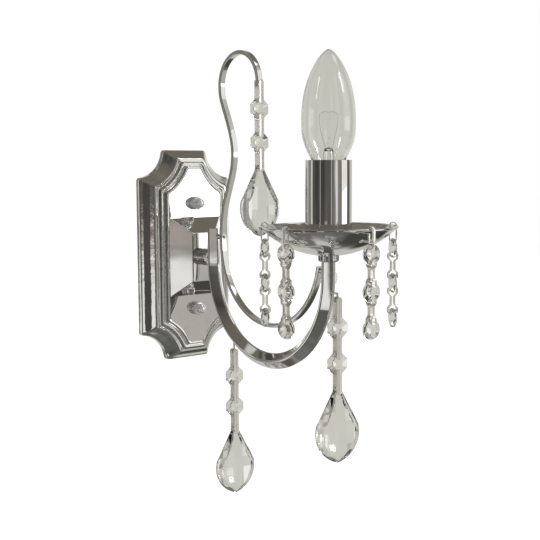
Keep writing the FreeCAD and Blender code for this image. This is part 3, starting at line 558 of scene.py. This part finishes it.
def drill(bm, heights):
    """Cut round pin holes along Y through a solid with the exact boolean; returns a mesh."""
    ob = bpy.data.objects.new("cut", to_mesh(bm, "cut"))
    bpy.context.scene.collection.objects.link(ob)
    tools = []
    r = (pin_r + hole_gap) * MM
    for z in heights:
        tb = bmesh.new()
        bmesh.ops.create_cone(tb, cap_ends=True, segments=16, radius1=r, radius2=r, depth=40 * MM,
                              matrix=Matrix.Translation(v3(0, 0, z)) @ Matrix.Rotation(math.pi / 2, 4, "X"))
        tm = bpy.data.meshes.new("tool")
        tb.to_mesh(tm)
        tb.free()
        tool = bpy.data.objects.new("tool", tm)
        bpy.context.scene.collection.objects.link(tool)
        m = ob.modifiers.new("b", "BOOLEAN")
        m.operation, m.solver, m.object = "DIFFERENCE", "EXACT", tool
        tools.append(tool)
    dg = bpy.context.evaluated_depsgraph_get()
    out = bpy.data.meshes.new_from_object(ob.evaluated_get(dg))
    for o in [ob] + tools:
        bpy.data.objects.remove(o)
    return out


def octagon_mesh(af, t, sides=8):
    """Flat crystal with a girdle of so many sides, and per face a table with two rings of eight facets."""
    planes = []
    for k in range(sides):
        a = TAU * k / sides
        planes.append(((af / 2 * math.cos(a), 0, af / 2 * math.sin(a)), (math.cos(a), 0, math.sin(a))))
    corner = af / 2 / math.cos(math.pi / 8) * 0.72
    for side in (-1, 1):
        planes.append(((0, side * t, 0), (0, side, 0)))
        for k in range(8):
            # each facet: distance from the middle, depth, lean and turn
            for r, y, lean, a in ((af / 2, 0.55, 0.42, math.pi * k / 4),
                                  (corner, t * 0.80, 0.34, math.pi * k / 4 + math.pi / 8)):
                planes.append(((r * math.cos(a), side * y, r * math.sin(a)),
                               (lean * math.cos(a), side * 1.0, lean * math.sin(a))))
    me = drill(convex(planes, (af, t * 2, af)), [hole_off, -hole_off])
    me.transform(Matrix.Translation(v3(0, 0, -hole_off)))
    return me


def drop_mesh():
    """Pear drop: pear outline, a belt of small slanted facets, and a chequer of squares on each domed face."""
    # share of the height from the top, and share of the greatest width there
    widest = 0.62
    prof = [(0.0, 0.10), (0.05, 0.19), (0.12, 0.37), (0.20, 0.55), (0.28, 0.71), (0.36, 0.835), (0.45, 0.93),
            (0.54, 0.985), (widest, 1.0), (0.70, 0.97), (0.77, 0.895), (0.84, 0.77), (0.90, 0.60), (0.95, 0.39),
            (0.985, 0.17)]
    foot = [(0.0, drop_hole - drop_h)]
    fine = spline([(w * drop_w / 2, drop_hole - f * drop_h) for f, w in prof] + foot, 3)
    planes = [((0, 0, drop_hole), (0, 0, 1))]
    for (x0, z0), (x1, z1) in zip(fine[0:len(fine) - 2:2], fine[2::2]):
        nx, nz = -(z1 - z0), (x1 - x0)
        ln = math.hypot(nx, nz)
        for s in (1, -1):
            mid = (s * (x0 + x1) / 2, 0, (z0 + z1) / 2)
            planes.append((mid, (s * nx, 0, nz)))
            # belt facet on each face, leaning in from the girdle
            for side in (-1, 1):
                planes.append(((mid[0], side * 0.7, mid[2]), (s * nx / ln * 0.95, side * 0.85, nz / ln * 0.95)))
    # chequer: planes tangent to a shallow dome, centred at the widest place, at the points of a square grid
    centre_z = drop_hole - widest * drop_h
    pitch, fall_x = 6.4, 0.0135
    for side in (-1, 1):
        shift = 0.0 if side < 0 else 0.5
        for i in range(-3, 4):
            for j in range(-5, 5):
                x, z = (i + shift) * pitch, (j + shift) * pitch
                fall_z, power = (0.0133, 1.75) if z > 0 else (0.0077, 2.2)
                y = drop_t / 2 - fall_x * x * x - fall_z * abs(z) ** power
                if y < -1 or abs(z) > 30:
                    continue
                slope = math.copysign(fall_z * power * abs(z) ** (power - 1), z) if z else 0.0
                planes.append(((x, side * y, centre_z + z), (2 * fall_x * x, side, slope)))
    return drill(convex(planes, (drop_w, drop_t, drop_h * 1.2)), [0.0])


# ------------------------------------------------------------------ clips and rim rings
def clip_mesh(pull=0.0):
    """Two thin pressed straps with rounded ends and rolled edges, joined by a headed pin at each end.

    Between the crystals the straps are pulled in towards each other by pull.
    """
    bm = bmesh.new()
    r, n_end, n_line = clip_w / 2 + strap_edge, 13, 15
    bend_from, bend_over = 0.14, 0.16       # shares of the length: where a strap starts to bend in, and over how much

    def half_round(inset, y, z, turn):
        angles = [turn + math.pi * k / (n_end - 1) for k in range(n_end)]
        return [v3((r - inset) * math.cos(a), y, z + (r - inset) * math.sin(a)) for a in angles]

    def edge(inset, y, side, way):
        """One long edge of a strap, downwards on the left (way -1) or upwards on the right (1)."""
        line = []
        for k in range(1, n_line + 1):
            f = k / (n_line + 1) if way < 0 else 1 - k / (n_line + 1)
            w = r * (1 - (1 - strap_waist) * math.sin(math.pi * f))
            g = min(max((min(f, 1 - f) - bend_from) / bend_over, 0.0), 1.0)
            line.append(v3(way * (w - inset), y - side * pull * g * g * (3 - 2 * g), -clip_pitch * f))
        return line

    # inset of the outline and place across the strap's thickness, from its inner to its outer face
    for side in (-1, 1):
        y_in, y_out = side * clip_in, side * (clip_in + clip_t)
        rows = []
        for inset, y in ((0.10, y_in), (0.0, y_in + side * 0.1), (0.0, y_out - side * 0.12), (0.14, y_out),
                         (0.55, y_out), (0.75, y_out - side * 0.07)):
            rows.append(half_round(inset, y, 0, 0.0) + edge(inset, y, side, -1)
                        + half_round(inset, y, -clip_pitch, math.pi) + edge(inset, y, side, 1))
        vs = ring_grid(bm, rows)
        foot, back = n_end + n_line, 2 * n_end + n_line
        for cap in (vs[0], vs[-1]):
            # across the strap: the two round ends as one face each, the length between them as rungs
            bm.faces.new(cap[0:n_end])
            bm.faces.new(cap[foot:back])
            left, right = cap[n_end - 1:foot + 1], [cap[0]] + cap[:back - 1:-1] + [cap[back - 1]]
            for k in range(n_line + 1):
                bm.faces.new((left[k], left[k + 1], right[k + 1], right[k]))
    reach = clip_in + clip_t
    turns = [math.pi * i / 8 for i in range(16)]
    for z in (0, -clip_pitch):
        pin = ((0.3, -reach), (pin_r, -reach + 0.08), (pin_r, reach - 0.08), (0.3, reach))
        ring_grid(bm, [[v3(rr * math.cos(a), y, z + rr * math.sin(a)) for a in turns] for rr, y in pin], capped=True)
    return to_mesh(bm, "clip")


def rim_ring_mesh():
    """The link over the rim: a flat band that narrows to a round pin at its foot."""
    r, c, foot = ring_r, ring_corner, -ring_drop
    down = (-1.6, -3.4, -5.2, -6.6, -7.6, -8.4)
    half_wide, thinned, inner_share = 1.45, 0.12, 0.55
    taper_from, taper_over = 1.4, 3.4       # above the pin
    bend = [(c * math.cos(math.radians(a)), c * math.sin(math.radians(a))) for a in (30, 60)]
    loop = arc(0, 0, r, range(0, 181, 15))
    loop += [(-r, z) for z in down + (foot + c,)] + [(-r + c - u, foot + c - v) for u, v in bend] + [(-r + c, foot)]
    loop += [(r - c, foot)] + [(r - c + v, foot + c - u) for u, v in bend] + [(r, foot + c)]
    loop += [(r, z) for z in reversed(down)]
    turns = [TAU * k / 14 for k in range(14)]
    rings = []
    for i, (y, z) in enumerate(loop):
        after, before = loop[(i + 1) % len(loop)], loop[i - 1]
        ty, tz = after[0] - before[0], after[1] - before[1]
        ln = math.hypot(ty, tz)
        ny, nz = -tz / ln, ty / ln
        # from pin to band: the whole way outside the pan, and a share of it on the side of the candle
        g = min(max((z - foot - taper_from) / taper_over, 0.0), 1.0)
        g = g * g * (3 - 2 * g)
        if y > 0:
            g *= inner_share
        wide, thin = ring_wire + (half_wide - ring_wire) * g, ring_wire - thinned * g
        rings.append([v3(wide * math.cos(a), y + ny * thin * math.sin(a), z + nz * thin * math.sin(a)) for a in turns])
    bm = bmesh.new()
    ring_grid(bm, rings, loop=True)
    return to_mesh(bm, "ring")


oct_me = octagon_mesh(octagon_af, octagon_half_t)
bead_me = octagon_mesh(bead_af, bead_half_t, 16)
drop_me = drop_mesh()
clip_me = clip_mesh()
strand_clip_me = clip_mesh(strand_pull)
ring_me = rim_ring_mesh()

for name, ((x, y, z), heading) in pendants.items():
    for k in range(1, 4):
        part = "%s_clip_%d" % (name, k)
        instance(part + ".wire", clip_me, (x, y, z), heading, "clip_metal", part, (part,), flat=False)
        z -= clip_pitch
        if k < 3:
            part = "%s_octagon_%d" % (name, k)
            instance(part + ".cut", oct_me, (x, y, z), heading, "crystal", part, (part,))
            z -= 2 * hole_off
    part = name + "_drop"
    instance(part + ".cut", drop_me, (x, y, z), heading, "crystal", part, (part,))

for k in range(strand_count):
    heading = pan_turn + 360.0 * k / strand_count
    a = math.radians(heading)
    x, y, z = -math.sin(a) * rim_r, cup_y - math.cos(a) * rim_r, pan_z
    me, length = ring_me, ring_drop
    for b in range(1, beads_per_strand + 1):
        part = "strand_%d_link_%d" % (k + 1, b)
        instance(part + ".wire", me, (x, y, z), heading, "clip_metal", part, (part,), flat=False)
        z -= length
        instance(part + ".cut", bead_me, (x, y, z), heading, "crystal", part)
        z -= 2 * hole_off
        me, length = strand_clip_me, clip_pitch

# ------------------------------------------------------------------ CAD pieces that keep their shape
KEEP = {
    "fitting_chrome": ("arm_spacer", "scroll_rivets", "pendant_eyes", "pan_collar"),
    "arm_chrome": ("arm_end_cap",),
    "plain_steel": ("wall_bracket", "bracket_studs", "arm_nipple", "arm_lock_nut", "pan_nipple", "pan_lock_nut"),
    "terminal_plastic": ("terminal_block",),
    "wire_insulation": ("lamp_wires",),
    "holder_plastic": ("lampholder_body",),
    "brass": ("lampholder_shell", "lampholder_contact", "bulb_tip"),
    "cap_metal": ("bulb_cap",),
    "stem_clear": ("bulb_stem",),
    "filament": ("bulb_filament",),
}
for look, names in KEEP.items():
    for name in names:
        for s in NODES[name].material_slots:
            s.material = M[look]

# ------------------------------------------------------------------ camera, as the photograph's
focal_px, frame_px, sensor_w = 999.6, 540, 36
cam_at = (-428.4, -656.4, 66.47)
cam = bpy.data.cameras.new("camera")
cam.lens, cam.sensor_width, cam.sensor_fit = focal_px * sensor_w / frame_px, sensor_w, "HORIZONTAL"
cam.clip_start, cam.clip_end = 0.02, 40
cam_ob = bpy.data.objects.new("camera", cam)
bpy.context.scene.collection.objects.link(cam_ob)
yaw, pitch, roll = math.radians(-38.09), math.radians(5.79), math.radians(-0.33)
fwd = Vector((-math.sin(yaw) * math.cos(pitch), math.cos(yaw) * math.cos(pitch), -math.sin(pitch)))
right = Vector((math.cos(yaw), math.sin(yaw), 0))
up = right.cross(fwd)
rolled_right = right * math.cos(roll) + up * math.sin(roll)
rolled_up = up * math.cos(roll) - right * math.sin(roll)
m = Matrix((rolled_right, rolled_up, -fwd)).transposed().to_4x4()
m.translation = v3(*cam_at)
cam_ob.matrix_world = m
bpy.context.scene.camera = cam_ob

# ------------------------------------------------------------------ floor
scene = bpy.context.scene
scene.view_settings.view_transform = "Standard"

reach, floor_z = 4, -0.42      # metres
me = bpy.data.meshes.new("floor")
me.from_pydata([(x, y, floor_z) for x, y in ((-reach, -reach), (reach, -reach), (reach, reach), (-reach, reach))],
               [], [(0, 1, 2, 3)])
floor = bpy.data.objects.new("floor", me)
scene.collection.objects.link(floor)
floor_mat, nt, p = principled("floor", (0.93, 0.93, 0.93), 0.0, 0.9)
# seen by the camera the floor is lifted to white, as the background is; the object's shadow stays on it
seen, floor_lift = add(nt, "ShaderNodeLightPath").outputs["Is Camera Ray"], 0.34
lift = add(nt, "ShaderNodeMath", {0: seen, 1: floor_lift}, operation="MULTIPLY")
p.inputs["Emission Color"].default_value = (1, 1, 1, 1)
nt.links.new(lift.outputs[0], p.inputs["Emission Strength"])
me.materials.append(floor_mat)
floor.visible_glossy = False
floor.visible_transmission = False

# ------------------------------------------------------------------ world: the room that metal and glass mirror
world = bpy.data.worlds.new("world")
scene.world = world
world.use_nodes = True
wt = world.node_tree
wt.nodes.clear()
look_at = add(wt, "ShaderNodeTexCoord").outputs["Generated"]


def maths(operation, *values):
    return add(wt, "ShaderNodeMath", dict(enumerate(values)), operation=operation).outputs[0]


def along(x, y, z):
    """How far the direction that is looked at goes along another."""
    return add(wt, "ShaderNodeVectorMath", {0: look_at, 1: (x, y, z)}, operation="DOT_PRODUCT").outputs["Value"]


def ease(value, from_min, from_max, to_min=0.0, to_max=1.0):
    """Number that goes smoothly from to_min to to_max while value goes from from_min to from_max."""
    return add(wt, "ShaderNodeMapRange", {"From Min": from_min, "From Max": from_max, "To Min": to_min,
                                          "To Max": to_max, "Value": value},
               interpolation_type="SMOOTHSTEP").outputs[0]


def blend(base, factor, colour):
    return add(wt, "ShaderNodeMix", {"Factor": factor, "A": base, "B": (*colour, 1)},
               data_type="RGBA").outputs["Result"]


def patch(base, axis, inner, outer, colour, strength=1.0):
    """Blend a colour into base within a cone about a direction: full inside inner degrees, none past outer."""
    near = ease(along(*Vector(axis).normalized()), math.cos(math.radians(outer)), math.cos(math.radians(inner)),
                0.0, strength)
    return blend(base, near, colour)


elevation = maths("ARCSINE", add(wt, "ShaderNodeSeparateXYZ", {0: look_at}).outputs[2])


def band(base, az, half, soft_az, colour, lo, hi, soft_el, strength=1.0):
    """Blend a colour into base over an upright strip of the room.

    Its middle is at heading az, from -Y towards +X, and it reaches half to each side, from elevation lo to hi. All
    are degrees, and so are soft_az and soft_el, over which its edges fade.
    """
    a = math.radians(az)
    off = maths("ABSOLUTE", maths("ARCTAN2", along(math.cos(a), math.sin(a), 0), along(math.sin(a), -math.cos(a), 0)))

    def fade(value, at, width, t0, t1):
        return ease(value, math.radians(at - width / 2), math.radians(at + width / 2), t0, t1)

    k = fade(off, half, soft_az, 1.0, 0.0)
    k = maths("MULTIPLY", k, fade(elevation, lo, soft_el, 0.0, 1.0))
    k = maths("MULTIPLY", k, fade(elevation, hi, soft_el, 1.0, 0.0))
    return blend(base, maths("MULTIPLY", k, strength), colour)


def clutter(colour, scale, lo, hi, stretch):
    """Uneven brightness, as of furniture and hangings."""
    at = add(wt, "ShaderNodeMapping", {"Scale": stretch, 0: look_at}).outputs[0]
    spots = add(wt, "ShaderNodeTexNoise", {"Scale": scale, "Detail": 2.0, "Vector": at}).outputs["Fac"]
    return add(wt, "ShaderNodeVectorMath", {0: colour, "Scale": ease(spots, 0.42, 0.58, lo, hi)},
               operation="SCALE").outputs[0]


# what band or patch takes after its base; later zones cover earlier ones, and the camera stands at heading -38
ZONES = [
    (band, -152, 13, 6, (0.20, 0.195, 0.18), -40, 50, 14, 0.9),         # hanging at the far left
    (band, -134.5, 4.5, 3, (0.64, 0.63, 0.59), -30, 40, 10),            # pale post beside it
    (band, -92, 35, 6, (0.05, 0.047, 0.042), -60, 60, 16, 0.93),        # dark doorway to the left
    (band, -38, 24, 6, (0.10, 0.095, 0.085), -60, 60, 14, 0.93),        # the camera's side of the room
    (band, -83, 1.6, 2.4, (0.45, 0.45, 0.43), -30, 40, 8),              # upright glint in the doorway
    (band, -54.5, 6.0, 2.0, (0.43, 0.385, 0.35), -4.6, -2.9, 0.7),      # top of a low cupboard, just below eye level
    (band, -54.5, 6.0, 2.0, (0.92, 0.91, 0.88), -34, -4.9, 1.0),        # its pale front
    (band, -27, 1.6, 1.6, (0.60, 0.585, 0.53), -20, 30, 6),             # upright edges and walls to the right
    (band, -15, 2.0, 2.0, (0.32, 0.31, 0.29), -30, 40, 6),
    (band, 0, 6, 3, (0.78, 0.77, 0.73), -50, 45, 10),
    (band, 17, 12, 4, (0.24, 0.225, 0.20), -50, 45, 10),
    (band, 43.5, 15, 4, (2.6, 2.6, 2.55), -4.6, 34, 2.5),               # white wall, table edge just below eye level
    (band, 43.5, 15, 4, (0.96, 0.95, 0.91), 4.5, 34, 2.0),              # the same wall higher up, out of the light
    (band, 41, 16, 5, (0.50, 0.485, 0.45), -44, -4.6, 2.5),             # the table
    (band, 78, 15, 6, (0.085, 0.08, 0.07), -50, 40, 10, 0.95),          # dark corner at the right
    (patch, (0.0, 0.1, 1), 38, 58, (0.17, 0.155, 0.125), 0.93),         # brown-grey ceiling
    (patch, (-0.2, -0.25, -1), 28, 44, (0.13, 0.13, 0.12), 0.9),        # dark floor
    (patch, (-0.75, 0.62, -0.30), 9, 16, (0.95, 0.95, 0.92)),           # low bright sheet at the left
    (band, 142, 58, 22, (0.60, 0.595, 0.54), -46, 27, 9),               # backdrop paper behind the fitting
    (band, 122, 5, 2, (1.05, 1.05, 1.02), -13, 10, 2),                  # cards standing on it
    (band, 163, 5, 2, (1.05, 1.05, 1.02), -16, 6, 2),
    (band, 132, 2.6, 1.5, (0.82, 0.82, 0.79), -15, -1, 2),
    (band, 152, 2.6, 1.5, (0.38, 0.375, 0.35), -5, 9, 2),
    (patch, (-0.33, 0.50, 0.80), 5, 9, (0.66, 0.66, 0.64)),             # pale board overhead
    (patch, (-0.195, 0.51, -0.83), 6, 12, (0.13, 0.105, 0.09)),         # a brown patch and a pale one below
    (patch, (0.09, 0.79, -0.60), 9, 16, (0.62, 0.62, 0.60)),
    (patch, (0.72, 0.30, -0.62), 7, 14, (0.05, 0.05, 0.045)),           # dark things low at the right
    (patch, (0.56, 0.05, -0.83), 11, 22, (0.07, 0.07, 0.06)),
    (patch, (0.45, -0.30, 0.84), 7, 12, (2.4, 2.4, 2.3)),               # ceiling lamp
]
room = clutter((0.50, 0.49, 0.46), scale=3.2, lo=0.35, hi=1.25, stretch=(1, 1, 0.6))
for zone, *values in ZONES:
    room = zone(room, *values)

daylight, white = (0.80, 0.80, 0.80), (1, 1, 1)
paper, paper_share = (0.62, 0.615, 0.565), 0.35
ray = add(wt, "ShaderNodeLightPath").outputs
light = blend(room, ray["Is Diffuse Ray"], daylight)
# what shows through the crystals is evened out a little by the paper around them
light = blend(light, maths("MULTIPLY", ray["Is Transmission Ray"], paper_share), paper)
light = blend(light, ray["Is Camera Ray"], white)
background = add(wt, "ShaderNodeBackground", {"Color": light})
add(wt, "ShaderNodeOutputWorld", {"Surface": background.outputs[0]})


# ------------------------------------------------------------------ lamps, in metres and watts
def softbox(name, at, aim, size, power):
    li = bpy.data.lights.new(name, "AREA")
    li.shape, li.size, li.size_y, li.energy = "RECTANGLE", size[0], size[1], power
    ob = bpy.data.objects.new(name, li)
    scene.collection.objects.link(ob)
    ob.location = at
    ob.rotation_euler = (Vector(aim) - Vector(at)).to_track_quat("-Z", "Y").to_euler()
    ob.visible_glossy = False


softbox("key", at=(1.3, -1.9, 1.5), aim=(0, -0.1, 0.0), size=(0.5, 0.9), power=14)
softbox("fill", at=(-2.0, 0.2, 1.2), aim=(0, -0.1, 0.0), size=(0.25, 0.9), power=6)
